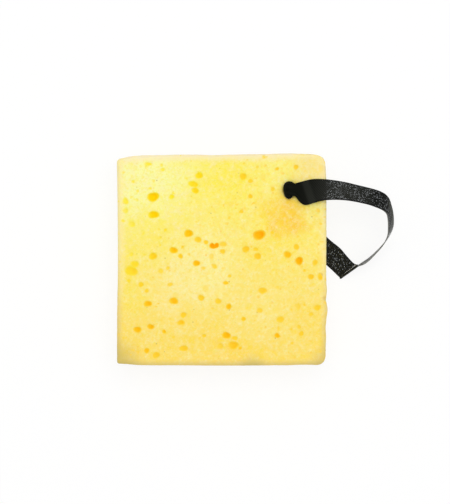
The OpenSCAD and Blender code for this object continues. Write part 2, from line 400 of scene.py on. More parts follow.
print("knot", len(KNOT_TURN), "points, from", min(p[3] for p in KNOT_TURN), "mm in radius")


# %% The knot as a tube
def knot_mesh(name):
    """The tube of the knot, closed along its curve."""
    verts, uvs = [], []
    turn = [Vector(p) for p in KNOT_TURN]
    curve = smooth([turn[-1], *turn, turn[0], turn[1]])[STEPS_BETWEEN:-STEPS_BETWEEN]
    last = len(curve) - 1
    for i, point in enumerate(curve):
        here = point.xyz
        along = (curve[(i + 1) % last].xyz - curve[(i - 1) % last].xyz).normalized()
        side = along.cross((here - KNOT_MIDDLE).normalized()).normalized()
        out = side.cross(along)
        for k in range(KNOT_SIDES + 1):
            a = 2 * math.pi * k / KNOT_SIDES
            r = point.w * (1 + RIB_DEPTH * math.cos(RIBS * a + 2 * math.pi * i / last))
            verts.append((here + side * (r * math.cos(a)) + out * (r * math.sin(a))) * MM)
            uvs.append((k / KNOT_SIDES * RIBBON_W, -i * CLOTH_STEP))
    return cloth_mesh(name, verts, uvs, KNOT_SIDES, turned=True)


knot = new_object("knot", knot_mesh("knot"))
select_only(knot)
bpy.ops.object.mode_set(mode="EDIT")
bpy.ops.mesh.select_all(action="SELECT")
bpy.ops.mesh.remove_doubles(threshold=0.01 * MM)
bpy.ops.mesh.normals_make_consistent(inside=False)
bpy.ops.object.mode_set(mode="OBJECT")
bpy.ops.object.shade_smooth()
print("knot", len(knot.data.polygons), "faces")

# %% One ribbon, in place of the imported one
ribbon.select_set(True)
bpy.context.view_layer.objects.active = ribbon
bpy.ops.object.join()
print("ribbon with its knot", len(ribbon.data.polygons), "faces")

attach(ribbon, "root")
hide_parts("ribbon_loop")

# %% [markdown]
# ## Colours in layers
# Both finishes are built up as a painter builds them: a ground colour, and over it one
# thin layer after another, each strong in some places and gone in others. A colour ramp
# could do the same for one pattern, but here many patterns lie over each other.

# %% Where a layer shows, and laying it on
def faded(material, *fades):
    """How strongly a layer shows: smooth fades, multiplied. A fade is the value it
    follows, where it starts and stops, and if need be its top and its bottom."""
    shown = None
    for value, start, stop, *ends in fades:
        # From nothing to all of it, unless the fade says otherwise
        top, bottom = ends + [1.0, 0.0][len(ends):]
        fade = add_node(material, "ShaderNodeMapRange", {
            "Value": value, "From Min": start, "From Max": stop, "To Min": bottom, "To Max": top},
            interpolation_type="SMOOTHSTEP").outputs["Result"]
        if shown is not None:
            fade = add_node(material, "ShaderNodeMath", {
                0: shown, 1: fade}, operation="MULTIPLY").outputs["Value"]
        shown = fade
    return shown


def stretch(value, start, stop, soft, top=1.0):
    """The two fades of a layer that shows from start to stop, with soft ends."""
    return (value, start - soft, start, top), (value, stop + soft, stop)


def layered(material, body, *layers):
    """The body colour with each layer over it. A layer is how strongly it shows, and its colour."""
    for shown, colour in layers:
        body = add_node(material, "ShaderNodeMix", {
            "Factor": shown, "A": body, "B": colour}, data_type="RGBA").outputs["Result"]
    return body


# %% [markdown]
# ## Black woven ribbon
# The cloth is a narrow polyester twill, dyed black. Its threads lie on a slant, and
# wherever one comes up over its neighbour it can catch the light, which reads as a grey
# dot: these glints are painted into the colour. Real crossings are about 0.35 mm apart.
# Here they are 0.52 by 0.6 mm, about one and a half times that, so that they show. The
# woven edges are denser and stay dark. The stretch that the knot pulls tight and the way
# into the bend are painted darker, as painted shade. Seen along its surface the cloth
# turns grey, because its fibres stand up: that is the sheen. Where the ribbon rolls over,
# its outer half and the turn are painted paler, as painted sheen, and a light line painted
# across near the knot stands for a fold. The patterns follow the cloth, so they read the
# ribbon's own UV map, in millimetres.

# %% What the cloth looks like along its length
# The pitch of the slanting ribs in millimetres, their angle in degrees, and the pitch of
# the crossings both ways
TWILL_PITCH = 0.75
TWILL_ANGLE = 58
CROSSING = (0.52, 0.6)
# The painted glints are stronger in some patches, this many to a millimetre, or one in 8 mm
PATCHES_PER_MM = 0.13
# Along the ribbon: the stretch that the knot pulls tight, which is painted dark as painted
# shade, and where the cloth gets painted shade and its painted glints grow rarer towards
# the bend. Beside the slab the glints are a little blue, which makes up for the yellow
# light that the foam throws on them.
TIGHT_LENGTH = 24.0
SHADED_TOWARDS_BEND = (27.0, 42.0)
# Where the squeezed cloth opens out it keeps a faint fold across, painted as a light line, a painted
# highlight
CREASE = 16.2
# The start of the bend, painted dark as painted shade, its outer half painted paler as
# painted sheen, and the turn after it, painted paler as painted sheen
BEND = (45.0, 52.0)
OUTER_HALF = (55.0, 64.0)
TURN = (65.0, 71.0)
# From the turn to here the ribbon stands on its edge, and its cut rim catches the light
STANDING = 84.0
# How far the dense woven edge and the cut rim lie from the ribbon's middle
WOVEN_EDGE = (4.1, 4.8)
CUT_RIM = (4.9, 4.99)
print("threads cross", round(100 / (CROSSING[0] * CROSSING[1])), "times per square centimetre")


# %% Painted glints: grey dots where threads cross
# Where a dot ends and where it is full, as shares of the pitch from its middle
DOT_EDGE = (0.43, 0.14)


def glints(material, uv, slant, along):
    """How strongly the painted glints show: some bright, most faint, and more in some patches."""
    grid = add_node(material, "ShaderNodeMapping", {
        "Vector": slant, "Scale": (1 / CROSSING[0], 1 / CROSSING[1], 1)}).outputs["Vector"]
    crossing = add_node(material, "ShaderNodeTexVoronoi", {
        "Vector": grid, "Scale": 1.0, "Randomness": 0.25}, voronoi_dimensions="2D")
    chance = add_node(material, "ShaderNodeSeparateColor", {"Color": crossing.outputs["Color"]})
    patch = add_node(material, "ShaderNodeTexNoise", {
        "Vector": uv, "Scale": PATCHES_PER_MM, "Detail": 2.0})
    rarity = faded(material, (along, *SHADED_TOWARDS_BEND, 0.62, 0.3))
    return faded(
        material, (crossing.outputs["Distance"], *DOT_EDGE), (chance.outputs["Red"], rarity, 1.0),
        (patch.outputs["Fac"], 0.3, 0.58), (along, 0.8 * TIGHT_LENGTH, TIGHT_LENGTH))


# %% Ribbon material
def ribbon_material():
    """Slanting ribs, painted glints, woven edges, painted shade and painted sheen, in layers from the
    ground colour up.
    """
    material, surface = new_material("black woven polyester ribbon")
    uv = add_node(material, "ShaderNodeUVMap", uv_map="cloth_mm").outputs["UV"]
    slant = add_node(material, "ShaderNodeMapping", {
        "Vector": uv, "Rotation": (0, 0, math.radians(TWILL_ANGLE))}).outputs["Vector"]
    # At scale 1 a wave texture has a band every tau / 20
    twill = add_node(material, "ShaderNodeTexWave", {
        "Vector": slant, "Scale": math.tau / 20 / TWILL_PITCH, "Distortion": 0.5,
        "Detail": 1.0}, wave_type="BANDS", bands_direction="X").outputs["Fac"]
    place = add_node(material, "ShaderNodeSeparateXYZ", {"Vector": uv})
    across, along = place.outputs["X"], place.outputs["Y"]
    middle = add_node(material, "ShaderNodeMath", {0: across, 1: RIBBON_W / 2}, operation="SUBTRACT")
    sideways = add_node(material, "ShaderNodeMath", {
        0: middle.outputs["Value"]}, operation="ABSOLUTE").outputs["Value"]
    lean = add_node(material, "ShaderNodeMath", {
        0: across, 1: 0.5, 2: along}, operation="MULTIPLY_ADD").outputs["Value"]
    painted_glint = layered(material, rgb("#B6B9BC"), (
        faded(material, (along, STANDING, STANDING + 12)), "#AEB6C4"))
    cloth = layered(
        material, rgb("#11120F"),
        (twill, "#373833"),
        # Painted shade from the stretch into the bend onwards
        (faded(material, (along, *SHADED_TOWARDS_BEND, 0.4)), "#0B0C09"),
        # Painted shade at the start of the bend
        (faded(material, *stretch(along, *BEND, 4.0, 0.7)), "#060705"),
        # Painted sheen on the outer half of the bend
        (faded(material, *stretch(along, *OUTER_HALF, 3.0, 0.3), (across, 4.0, 7.0)), "#585B50"),
        # Painted glints where threads cross
        (glints(material, uv, slant, along), painted_glint),
        (faded(material, (sideways, *WOVEN_EDGE, 0.7)), "#0C0D0C"),
        # Painted sheen on the turn
        (faded(material, *stretch(along, *TURN, 4.0, 0.24)), "#8C8E88"),
        (faded(material, (sideways, *CUT_RIM), *stretch(along, BEND[1], STANDING, 5.0)), "#747572"),
        # Painted shade on the knot and near it, over the stretch that it pulls tight
        (faded(material, (along, 1.1 * TIGHT_LENGTH, 0.4 * TIGHT_LENGTH, 0.9)), "#070904"),
        # A painted highlight along the fold where the squeezed cloth opens out
        (faded(material, *stretch(lean, CREASE - 1.5, CREASE, 1.8, 0.07)), "#6A6C62"))
    bump = add_node(material, "ShaderNodeBump", {
        "Height": twill, "Distance": 0.12 * MM, "Strength": 0.6})
    set_inputs(surface, {
        "Base Color": cloth, "Normal": bump.outputs["Normal"], "Roughness": 0.7,
        "Specular IOR Level": 0.05, "Sheen Weight": 0.72, "Sheen Roughness": 0.15,
        "Sheen Tint": "#FFFFFF"})
    return material


ribbon.data.materials.clear()
ribbon.data.materials.append(ribbon_material())
print("ribbon material", len(ribbon.active_material.node_tree.nodes), "nodes")

# %% [markdown]
# ## The foam slab: its outline
# Foam is sawn from a bun, so its faces are nearly flat and its corners aren't alike. The
# slab's form is written as a distance: how far a point is outside the surface. The hole,
# the dimple under the knot and the uneven sawn edge are small terms in the same sum. A
# bevelled cube would need its own bevel at each corner, and couldn't carry slow bumps.

# %% Rims, corners and sawn sides
# In millimetres: the rims, the corners in plan by their side, and how softly the foam
# dips into the hole
RIM_R = 1.9
CORNER_R = {(1, 1): 4.4, (1, -1): 4.6, (-1, 1): 1.9, (-1, -1): 1.1}
HOLE_BLEND = 2.6
# Bumps of the sawn sides: place along the side, spread, height
RIGHT_SIDE = ((-13.8, 1.6, 0.25), (-18.3, 1.3, -0.3), (-22.9, 2.7, 0.55), (-31, 2.4, -0.35),
              (-41, 6, -0.3), (43, 5, -0.3))
LEFT_SIDE = ((3, 40, -0.5),)
FAR_SIDE = ((-8, 48, -0.42), (-48, 12, -1.3), (-46, 3.4, -0.8), (-28, 6, -0.25), (-3.4, 5, -0.3),
            (29, 7, 0.35), (45, 3, -0.6))
NEAR_SIDE = ((-47, 7, -0.7), (38, 7, -0.35))


print("bumps", len(RIGHT_SIDE) + len(LEFT_SIDE) + len(FAR_SIDE) + len(NEAR_SIDE), "on four sides")


# %% The slab's outline in plan
def side_bumps(along, bumps):
    """How far the sawn side stands out at each place along it."""
    total = np.zeros_like(along)
    for place, spread, height in bumps:
        total += height * np.exp(-(((along - place) / spread) ** 2))
    return total


def plan_distance(x, y):
    """Signed distance to the slab's outline in plan, in millimetres."""
    half_w = BLOCK_W / 2 + np.where(x > 0, side_bumps(y, RIGHT_SIDE), side_bumps(y, LEFT_SIDE))
    half_l = BLOCK_L / 2 + np.where(y > 0, side_bumps(x, FAR_SIDE), side_bumps(x, NEAR_SIDE))
    radius = np.select(
        [(x > 0) & (y > 0), (x > 0), (y > 0)],
        [CORNER_R[1, 1], CORNER_R[1, -1], CORNER_R[-1, 1]], CORNER_R[-1, -1])
    past_x, past_y = np.abs(x) - half_w + radius, np.abs(y) - half_l + radius
    outside = np.hypot(np.maximum(past_x, 0), np.maximum(past_y, 0))
    return np.minimum(np.maximum(past_x, past_y), 0) + outside - radius


# %% Distance to the slab's surface
def slab_distance(p):
    """Signed distance to the slab with its soft rims, its hole and the knot's dimple."""
    x, y, z = p.T
    plan = plan_distance(x, y) + RIM_R
    level = np.abs(z - BLOCK_H / 2) - BLOCK_H / 2 + RIM_R
    slab = np.minimum(np.maximum(plan, level), 0) - RIM_R
    slab += np.hypot(np.maximum(plan, 0), np.maximum(level, 0))
    hole = HOLE_R - np.hypot(x - HOLE[0], y - HOLE[1])
    share = np.clip(0.5 - 0.5 * (slab - hole) / HOLE_BLEND, 0, 1)
    return slab + (hole - slab) * share + HOLE_BLEND * share * (1 - share)


corner = slab_distance(np.array([[BLOCK_W / 2, BLOCK_L / 2, BLOCK_H]]))[0]
print("a square corner would stand", round(corner, 2), "mm out of the worn one")


# %% [markdown]
# ## A fine skin for the slab
# A cube is sized and bored as on a bench, then remeshed into a skin of even squares, half
# as wide where a pore needs a crisp lip. Every point is then pressed on to the surface
# that the distance describes. Subdividing the cube would leave stretched squares round
# the hole, and a voxel remesh doesn't.

# %% Cube, bore and even skin
# The width of the skin's squares, in millimetres
CELL = 0.7


def slab_blank():
    """The bored cube with its even skin."""
    bpy.ops.object.select_all(action="DESELECT")
    bpy.ops.mesh.primitive_cylinder_add(vertices=48, radius=HOLE_R * MM, depth=2 * BLOCK_H * MM,
                                        location=(HOLE[0] * MM, HOLE[1] * MM, BLOCK_H / 2 * MM))
    punch = bpy.context.object
    bpy.ops.mesh.primitive_cube_add(size=1, location=(0, 0, BLOCK_H / 2 * MM))
    blank = bpy.context.object
    blank.name = "open_cell_foam"
    blank.scale = (BLOCK_W * MM, BLOCK_L * MM, BLOCK_H * MM)
    bpy.ops.object.transform_apply(location=True, rotation=False, scale=True)
    bore = blank.modifiers.new("bore", "BOOLEAN")
    bore.object = punch
    bore.operation = "DIFFERENCE"
    bpy.ops.object.modifier_apply(modifier=bore.name)
    bpy.data.objects.remove(punch)
    blank.data.remesh_voxel_size = CELL * MM
    bpy.ops.object.voxel_remesh()
    return blank


# %% Pressing a mesh on to the surface
def points_of(obj):
    """The mesh's points in millimetres, one row each."""
    flat = np.zeros(len(obj.data.vertices) * 3)
    obj.data.vertices.foreach_get("co", flat)
    return flat.reshape(-1, 3) / MM


def set_points(obj, points):
    """Put points, in millimetres, back into the mesh."""
    obj.data.vertices.foreach_set("co", (points * MM).ravel())
    obj.data.update()


def outward(points, step=0.05):
    """The direction in which the distance grows fastest, at each point."""
    slope = np.stack([
        slab_distance(points + shift) - slab_distance(points - shift)
        for shift in np.eye(3) * step], axis=1)
    return slope / np.maximum(np.linalg.norm(slope, axis=1, keepdims=True), 1e-9)


def press_on(obj, rounds=4):
    """Move every point on to the slab's surface, a little nearer each round."""
    points = points_of(obj)
    for _ in range(rounds):
        points -= outward(points) * slab_distance(points)[:, None]
    set_points(obj, points)


foam = slab_blank()
print("skin", len(foam.data.polygons), "squares")

# %% [markdown]
# ## Pores
# Bubbles in the foam were cut open by the saw. The larger ones on the upper face are
# listed one by one, because they give this sponge its face. Each has a width and a height,
# since the foam rose in the mould and stretched its bubbles, and a strength: a strong one
# is a deep bubble that glows orange, a weak one is a shallow dish. Hundreds of small ones
# are strewn over every face by a fixed seed. A noise pattern could place them all, but
# then none would be where this sponge has it.

# %% Main pores of the upper face
# x, y, width, height, strength
MAIN_PORES = [
    (-31.0, 28.3, 4.8, 3.8, 0.95), (-30.8, 20.3, 4.3, 3.1, 0.9), (-40.6, 16.0, 3.3, 2.8, 0.35),
    (-33.2, 43.2, 3.1, 1.5, 0.4), (-43.5, 26.4, 2.9, 3.1, 0.4), (-43.5, 22.1, 2.8, 2.6, 0.35),
    (-22.6, 28.4, 2.4, 2.1, 0.5), (-10.2, 38.0, 3.1, 2.9, 0.7), (-13.4, 34.3, 3.1, 2.6, 0.65),
    (-12.0, 33.9, 2.4, 2.4, 0.65), (-11.9, 31.2, 3.1, 2.4, 0.75), (9.7, 37.6, 3.3, 2.8, 0.65),
    (13.0, 35.5, 2.4, 1.9, 0.5), (25.1, 41.0, 1.7, 1.4, 0.6), (33.6, 41.8, 2.1, 2.4, 0.55),
    (13.0, 28.6, 1.9, 1.9, 0.65), (14.6, 25.5, 1.0, 1.0, 0.6), (23.1, 31.9, 2.0, 2.2, 0.4),
    (8.9, 21.7, 2.1, 1.5, 0.5), (17.0, 11.1, 5.0, 4.0, 1.0), (-15.0, 11.8, 3.4, 3.3, 0.9),
    (-10.7, 9.0, 2.9, 2.6, 0.6), (-7.1, 7.8, 2.1, 1.9, 0.55), (-4.2, 6.2, 2.6, 2.1, 1.25),
    (-2.3, 6.4, 2.1, 1.9, 1.25), (-3.4, 5.8, 3.0, 1.6, 1.25), (0.5, 7.0, 3.5, 2.4, 0.4),
    (0.4, 3.7, 2.4, 2.2, 0.55),
    (-21.8, 4.2, 3.5, 2.6, 0.9), (-18.6, 1.5, 2.1, 2.0, 0.65), (-17.7, 5.7, 1.4, 1.4, 0.5),
    (-31.1, 1.5, 3.6, 3.0, 0.7), (-41.0, 2.3, 2.2, 2.0, 0.35), (-39.3, -2.1, 3.3, 3.1, 0.55),
    (-40.9, -5.1, 5.2, 4.2, 0.6), (-42.0, -9.6, 1.7, 1.4, 0.5), (-36.5, -11.3, 2.6, 2.1, 0.6),
    (-33.9, -14.1, 1.9, 1.7, 0.5), (-23.3, -11.3, 2.4, 1.9, 0.4), (-33.4, -20.0, 3.2, 2.5, 0.85),
    (-21.7, -18.7, 3.6, 2.9, 0.8), (-9.3, -17.3, 2.8, 2.6, 0.6), (-1.6, -18.8, 3.1, 2.4, 0.5),
    (3.2, -21.3, 2.4, 2.2, 0.85), (-17.3, -25.1, 2.6, 2.4, 0.6), (-18.4, -28.5, 2.9, 2.2, 0.7),
    (-38.1, -31.7, 3.2, 2.6, 0.85), (-32.1, -30.4, 2.9, 2.2, 0.85), (-26.0, -32.6, 1.8, 1.6, 0.8),
    (-33.9, -41.2, 2.4, 2.1, 0.8), (-29.6, -43.2, 3.2, 2.6, 0.6), (-17.2, -40.2, 3.8, 2.6, 0.6),
    (-7.9, -34.5, 1.8, 1.6, 0.6), (2.1, -34.3, 3.5, 2.8, 0.9), (6.0, -35.6, 2.8, 1.9, 0.5),
    (5.3, -38.8, 4.7, 3.3, 0.7), (-0.6, -39.1, 2.9, 2.6, 0.4), (8.4, -40.1, 1.5, 1.4, 0.7),
    (-11.4, -1.7, 2.8, 2.5, 0.9), (-3.2, -3.1, 2.4, 2.3, 0.4), (-8.4, -3.9, 2.4, 1.7, 0.35),
    (1.8, -10.6, 2.6, 1.5, 0.7), (3.6, -7.5, 1.9, 1.4, 0.45), (10.9, 4.6, 3.0, 2.8, 0.65),
    (15.4, 4.6, 2.4, 1.9, 0.45), (16.3, 1.5, 3.0, 2.9, 0.65), (29.8, 2.2, 3.2, 2.8, 0.8),
    (33.8, 5.7, 2.6, 2.4, 0.6), (35.1, -0.6, 3.3, 3.2, 1.0), (42.2, -1.4, 2.4, 2.8, 0.5),
    (37.5, -4.9, 1.4, 1.3, 0.6), (40.4, -7.8, 2.5, 2.5, 0.65), (44.6, -7.9, 1.9, 3.1, 0.6),
    (43.6, 22.2, 2.1, 2.0, 0.35), (18.4, -14.1, 4.4, 2.6, 0.55), (17.2, -23.1, 3.1, 2.2, 0.4),
    (26.5, -27.1, 3.5, 2.8, 0.5), (9.9, -26.9, 1.9, 2.1, 0.65), (25.1, -34.4, 2.1, 2.1, 0.9),
    (25.7, -31.1, 1.2, 2.4, 0.4), (35.0, -30.5, 1.9, 1.9, 0.4), (36.1, -33.5, 2.2, 2.2, 0.55),
    (43.3, -21.8, 2.9, 2.5, 0.55), (40.4, -24.7, 2.1, 2.0, 0.4), (34.4, -21.1, 3.1, 2.8, 0.3),
    (37.6, -20.5, 1.1, 1.1, 0.6), (-27.6, -5.1, 2.8, 2.1, 0.35), (-4.6, 1.5, 2.4, 2.4, 0.3),
    (-24.3, -3.9, 1.8, 1.8, 0.4), (-25.5, 13.4, 1.4, 1.4, 0.6), (2.4, 16.2, 1.7, 1.7, 0.3),
    (22.9, 12.2, 1.7, 1.5, 0.5), (20.7, 14.0, 1.0, 1.0, 0.5), (4.2, 25.0, 3.1, 2.6, 0.2),
    (27.0, 16.4, 3.8, 3.0, 0.22), (-26.7, 40.7, 2.1, 1.9, 0.35), (-27.1, 42.6, 1.4, 1.4, 0.3),
    (-32.3, 32.2, 1.6, 1.5, 0.35), (-38.1, 31.0, 1.6, 1.4, 0.3), (-38.3, 27.0, 1.7, 1.6, 0.3),
]
print("main pores", len(MAIN_PORES))

# %% Faces of the slab, each with its own flat frame
# name, outward direction, first and second direction in the face, the two half sizes
FACES = {
    "upper": ((0, 0, 1), (1, 0, 0), (0, 1, 0), BLOCK_W / 2, BLOCK_L / 2),
    "lower": ((0, 0, -1), (1, 0, 0), (0, 1, 0), BLOCK_W / 2, BLOCK_L / 2),
    "right": ((1, 0, 0), (0, 1, 0), (0, 0, 1), BLOCK_L / 2, BLOCK_H / 2),
    "left": ((-1, 0, 0), (0, 1, 0), (0, 0, 1), BLOCK_L / 2, BLOCK_H / 2),
    "far": ((0, 1, 0), (1, 0, 0), (0, 0, 1), BLOCK_W / 2, BLOCK_H / 2),
    "near": ((0, -1, 0), (1, 0, 0), (0, 0, 1), BLOCK_W / 2, BLOCK_H / 2),
}
MIDDLE = np.array((0, 0, BLOCK_H / 2))
# Strewn pores per square centimetre: small ones, and the large ones of the plain faces
SMALL_PER_CM2 = 4.6
LARGE_PER_CM2 = 0.8
print("upper face", round(BLOCK_W * BLOCK_L / 100, 1), "square centimetres")


# %% Strewn pores
def strewn(count, half_u, half_v, low, high, strength, rng):
    """Pores at random places, most of them near the low size and few near the high one."""
    u = rng.uniform(-half_u, half_u, count)
    v = rng.uniform(-half_v, half_v, count)
    size = low + (high - low) * rng.uniform(0, 1, count) ** 2.2
    power = rng.uniform(strength[0], strength[1], count)
    squash = rng.uniform(0.75, 1.0, count)
    return [tuple(row) for row in np.stack([u, v, size, size * squash, power], axis=1)]


def pores_of(face, rng):
    """All the pores of a face: placed or large ones first, then the small ones."""
    half_u, half_v = FACES[face][3:]
    area = 4 * half_u * half_v / 100
    pores = strewn(int(area * SMALL_PER_CM2), half_u, half_v, 0.5, 1.7, (0.06, 0.4), rng)
    if face == "upper":
        return MAIN_PORES + pores
    large = strewn(int(area * LARGE_PER_CM2), half_u - 2, half_v - 2, 1.6, 4.8, (0.35, 1.0), rng)
    return large + pores


rng = np.random.default_rng(7)
PORES = {face: pores_of(face, rng) for face in FACES}
print("pores", {face: len(PORES[face]) for face in PORES})

# %% [markdown]
# ## Cutting the pores
# A pit's depth is a rounded bowl with a short soft lip, and its outline wanders a little
# so that no two pores are alike. Where two overlap the deeper one wins, which joins them
# as real bubbles join. The strength is kept on each point as an attribute, for the
# material to paint the pore's glow of light, and it is made stronger towards one side of
# each pore, which paints shade on that side.
# Cutting with a ball for each pore is the other way. It is slow for hundreds of them, and
# it leaves sharp edges where real foam is soft.

# %% One pit
# As shares of a pore's radius: how far the lip reaches, and over what length the glow
# fades. As shares of its smaller width: the depth of the bowl, and of the lip in that.
LIP = 1.35
GLOW_FADE = 0.68
BOWL_DEPTH = 0.42
LIP_DEPTH = 0.07


def pit_at(u, v, pore, turn):
    """Depth in millimetres and painted glow of one pore at points (u, v) of its face."""
    x, y, width, height, strength = pore
    du, dv = u - x, v - y
    angle = np.arctan2(dv, du)
    wander = 1 + 0.07 * np.sin(2 * angle + turn) + 0.05 * np.sin(3 * angle + 2.3 * turn)
    r = np.hypot(du / (width / 2), dv / (height / 2)) / wander
    bowl = np.clip(1 - r ** 2.4, 0, 1) ** (1.1 - 0.5 * strength)
    lip = LIP_DEPTH * np.clip((LIP - r) / (LIP - 1), 0, 1) ** 2
    depth = BOWL_DEPTH * strength ** 1.4 * min(width, height) * (bowl + lip)
    # Painted shade: the glow is a fifth stronger towards one side of each pore, a fifth weaker towards
    # the other
    shade_lean = 1 + 0.2 * np.clip(du / (width / 2), -1, 1)
    glow = strength * shade_lean * np.clip((LIP - r) / GLOW_FADE, 0, 1)
    return depth, glow


full_pit = pit_at(np.zeros(1), np.zeros(1), (0, 0, 5.0, 4.0, 1.0), 0)[0][0]
print("a full pore of 5 by 4 mm is", round(full_pit, 2), "mm deep")


# %% Points near a face, and near a pore
def face_coordinates(points, face):
    """Where the points lie along a face, and how far below it."""
    out, first, second, half_u, half_v = FACES[face]
    local = points - MIDDLE
    reach = BLOCK_H / 2 if out[2] else (BLOCK_W / 2 if out[0] else BLOCK_L / 2)
    return local @ first, local @ second, reach - local @ out


def near_pore(u, v, pore, margin):
    """Which points lie in the square round a pore, margin times as wide as the pore."""
    reach = max(pore[2], pore[3]) / 2 * margin
    return (np.abs(u - pore[0]) < reach) & (np.abs(v - pore[1]) < reach)


# %% Finer squares where the larger pores are
# The narrowest pore that gets them, in millimetres, and how much wider than it they reach
FINE_FROM = 1.5
FINE_REACH = 1.3


def refine_near_pores(obj):
    """Halve the squares round the larger pores of every face but the hidden lower one."""
    centres = np.zeros(len(obj.data.polygons) * 3)
    obj.data.polygons.foreach_get("center", centres)
    centres = centres.reshape(-1, 3) / MM
    chosen = np.zeros(len(centres), bool)
    for face, pores in PORES.items():
        if face == "lower":
            continue
        u, v, below = face_coordinates(centres, face)
        on_face = np.flatnonzero(below < 1)
        for pore in pores:
            if pore[2] >= FINE_FROM:
                chosen[on_face[near_pore(u[on_face], v[on_face], pore, FINE_REACH)]] = True
    select_only(obj)
    bpy.ops.object.mode_set(mode="EDIT")
    bpy.ops.mesh.select_mode(type="FACE")
    bpy.ops.mesh.select_all(action="DESELECT")
    bpy.ops.object.mode_set(mode="OBJECT")
    obj.data.polygons.foreach_set("select", chosen)
    bpy.ops.object.mode_set(mode="EDIT")
    bpy.ops.mesh.subdivide(number_cuts=1)
    bpy.ops.object.mode_set(mode="OBJECT")


refine_near_pores(foam)
press_on(foam)
print("finer skin", len(foam.data.polygons), "faces, within",
      round(np.abs(slab_distance(points_of(foam))).max(), 3), "mm of the surface")

# %% All the pits
# A pore is cut into what lies less than this far below its face, in millimetres
CUT_BELOW = 2.2


def cut_pores(obj):
    """Press every pore into the skin, and return how strongly each point glows."""
    points = points_of(obj)
    away = outward(points)
    depth = np.zeros(len(points))
    glow = np.zeros(len(points))
    for face, pores in PORES.items():
        u, v, below = face_coordinates(points, face)
        on_face = np.flatnonzero(below < CUT_BELOW)
        for turn, pore in enumerate(pores):
            at = on_face[near_pore(u[on_face], v[on_face], pore, LIP)]
            if len(at):
                pit, shine = pit_at(u[at], v[at], pore, turn)
                depth[at] = np.maximum(depth[at], pit)
                glow[at] = np.maximum(glow[at], shine)
    set_points(obj, points - away * depth[:, None])
    return glow


glow = cut_pores(foam)
print("points in pores", int((glow > 0).sum()), "of", len(glow))

# %% [markdown]
# ## The channel under the slab, and the foam's own unevenness
# The slab lies on its ribbon, so the ribbon presses a shallow channel into the lower
# face. The rest of the surface is uneven by a tenth or two of a millimetre, as sawn foam
# is, in slow waves and in a finer grain. Displace modifiers would do for the waves, but
# the channel has to follow the ribbon's route, so all three are worked out per point.

# %% The channel
# In millimetres: the channel's depth, the room beside the ribbon, and the slope's width
CHANNEL_DEPTH = 0.95
CHANNEL_ROOM = 1.4
CHANNEL_SLOPE = 1.1


def press_channel(obj):
    """Lift the lower face off the ribbon that lies under it."""
    points = points_of(obj)
    line = np.array([[p.x, p.y] for p in path if p.z < 1.2])
    low = np.flatnonzero(points[:, 2] < 1.0)
    gaps = np.hypot(points[low, 0][:, None] - line[:, 0], points[low, 1][:, None] - line[:, 1])
    side = gaps.min(axis=1)
    press = CHANNEL_DEPTH * np.clip((RIBBON_W / 2 + CHANNEL_ROOM - side) / CHANNEL_SLOPE, 0, 1)
    points[low, 2] = np.maximum(points[low, 2], press)
    set_points(obj, points)


press_channel(foam)
print("channel", CHANNEL_DEPTH, "mm deep under a ribbon of", RIBBON_T, "mm")

# %% Slow waves and grain
# Height and length in millimetres
WAVES = (0.16, 17.0)
GRAIN = (0.07, 1.3)


def roughen(obj):
    """Waves and grain all over, and only inwards where the slab rests."""
    points = points_of(obj)
    away = outward(points)
    slow = np.array([noise.noise(Vector(p / WAVES[1])) for p in points])
    fine = np.array([noise.noise(Vector(p / GRAIN[1])) for p in points])
    raised = WAVES[0] * slow + GRAIN[0] * fine
    raised[points[:, 2] < 0.4] = -np.abs(raised[points[:, 2] < 0.4]) * 0.5
    set_points(obj, points + away * raised[:, None])


roughen(foam)
print("lowest point", round(points_of(foam)[:, 2].min(), 3), "mm")


# %% What the finish needs to know, and the foam in place of the imported one
def from_rim(points):
    """How far each point lies from the nearer of the two sawn rims, in millimetres."""
    x, y, z = points.T
    return np.hypot(plan_distance(x, y), np.minimum(z, BLOCK_H - z))


for name, values in (("pore", glow), ("rim", from_rim(points_of(foam)))):
    attribute = foam.data.attributes.new(name=name, type="FLOAT", domain="POINT")
    attribute.data.foreach_set("value", values)
select_only(foam)
bpy.ops.object.shade_smooth()
foam.data.calc_loop_triangles()
print("foam", len(foam.data.loop_triangles), "triangles")

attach(foam, "root")
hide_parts("foam_block")

# %% [markdown]
# ## Yellow open-cell foam
# Polyurethane foam is matt, and light goes a millimetre or two into it and comes back
# warmer, so the open pores glow; that glow is painted into the pores' colour, deeper where
# a pore is stronger. The dye never takes evenly: this slab is lemon in one corner and
# warmer towards the other, with soft patches between. Those patches are listed, and noise
# frays their edges. The sawn rims get painted light, paler like cream, towards the far
# side, and painted shade towards the near side and its lower corners. The fine freckles
# are the foam's cells, which are really 0.3 mm and are drawn a few times larger so that
# they show; their olive dots are painted shade in the open cells. A painted image would
# hold all this too, but it fits one size only, and node patterns can be changed by name.

# %% Patches of dye, and of painted shade and darker spots
# x, y and radius in millimetres, strength, colour
DYE = [
    (-38, 40, 34, 0.8, "#FCFAB0"), (2, 36, 20, 0.75, "#FFEA4C"), (-30, 8, 16, 0.4, "#FEE960"),
    (-9, -4, 26, 0.65, "#FEF1A6"), (24, 14, 20, 0.65, "#FFE34E"), (30, 19, 14, 0.92, "#FFCB40"),
    (43, 40, 17, 0.8, "#F8E096"), (-42, -14, 16, 0.45, "#FEE656"), (18, -22, 20, 0.4, "#FEEC98"),
    (40, -24, 14, 0.35, "#FFDC62"), (2, -43, 16, 0.5, "#FFD65C"), (-24, -14, 21, 0.4, "#FEEAA4"),
]
